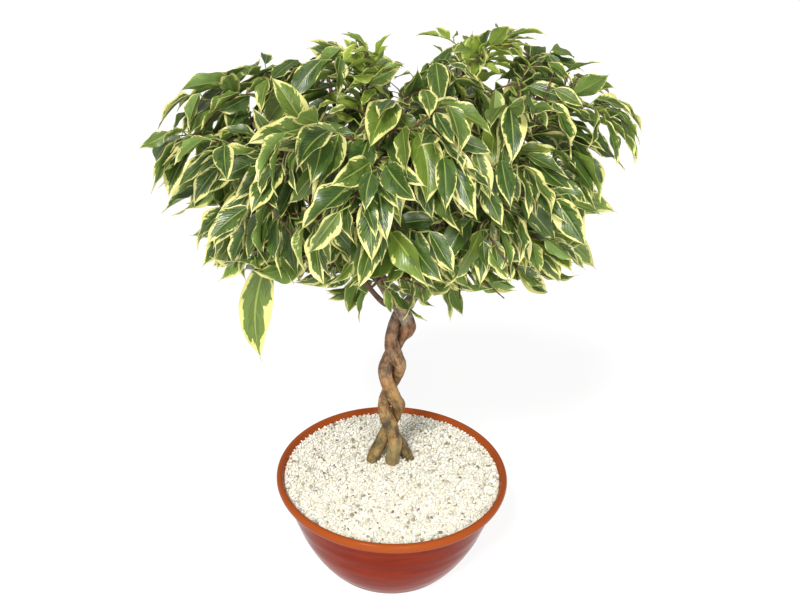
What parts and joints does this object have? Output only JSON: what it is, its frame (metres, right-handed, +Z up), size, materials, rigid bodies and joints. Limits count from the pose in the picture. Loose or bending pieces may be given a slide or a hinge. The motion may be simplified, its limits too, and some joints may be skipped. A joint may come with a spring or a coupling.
{
  "type": "bonsai weeping fig in a bowl",
  "caption": "Variegated weeping fig grown as a bonsai: its stems twisted into one trunk under a domed leafy crown, in a glazed terracotta bowl topped with white gravel.",
  "frame": {"origin": "centre of the bowl's base, on the surface the bowl stands on", "axes": "+Z up along the trunk, +X to the right and -Y towards the viewer of the plant's front"},
  "size_m": [0.4464, 0.3501, 0.5651],
  "materials": {
    "glazed_terracotta": "glossy orange-brown glaze with faint throwing rings",
    "white_gravel": "matt crushed white stone with cream and grey chips",
    "potting_soil": "matt crumbly",
    "bark": "satin olive-brown bark with creases",
    "leaves": "semi-gloss green with cream margins"
  },
  "bodies": {
    "root": {"branch_01": "bark", "branch_02": "bark", "branch_03": "bark", "branch_04": "bark", "branch_05": "bark", "branch_06": "bark", "branch_07": "bark", "branch_08": "bark", "branch_09": "bark", "branch_10": "bark", "gravel": "white_gravel", "pot": "glazed_terracotta", "shoot_01": "leaves", "shoot_02": "leaves", "shoot_03": "leaves", "shoot_04": "leaves", "shoot_05": "leaves", "shoot_06": "leaves", "shoot_07": "leaves", "shoot_08": "leaves", "shoot_09": "leaves", "shoot_10": "leaves", "shoot_11": "leaves", "shoot_12": "leaves", "shoot_13": "leaves", "shoot_14": "leaves", "shoot_15": "leaves", "shoot_16": "leaves", "shoot_17": "leaves", "shoot_18": "leaves", "shoot_19": "leaves", "shoot_20": "leaves", "shoot_21": "leaves", "shoot_22": "leaves", "shoot_23": "leaves", "shoot_24": "leaves", "shoot_25": "leaves", "shoot_26": "leaves", "shoot_27": "leaves", "shoot_28": "leaves", "shoot_29": "leaves", "shoot_30": "leaves", "shoot_31": "leaves", "shoot_32": "leaves", "shoot_33": "leaves", "shoot_34": "leaves", "shoot_35": "leaves", "shoot_36": "leaves", "shoot_37": "leaves", "shoot_38": "leaves", "shoot_39": "leaves", "shoot_40": "leaves", "shoot_41": "leaves", "shoot_42": "leaves", "shoot_43": "leaves", "shoot_44": "leaves", "soil": "potting_soil", "stem_1": "bark", "stem_2": "bark"}
  },
  "joints": []
}
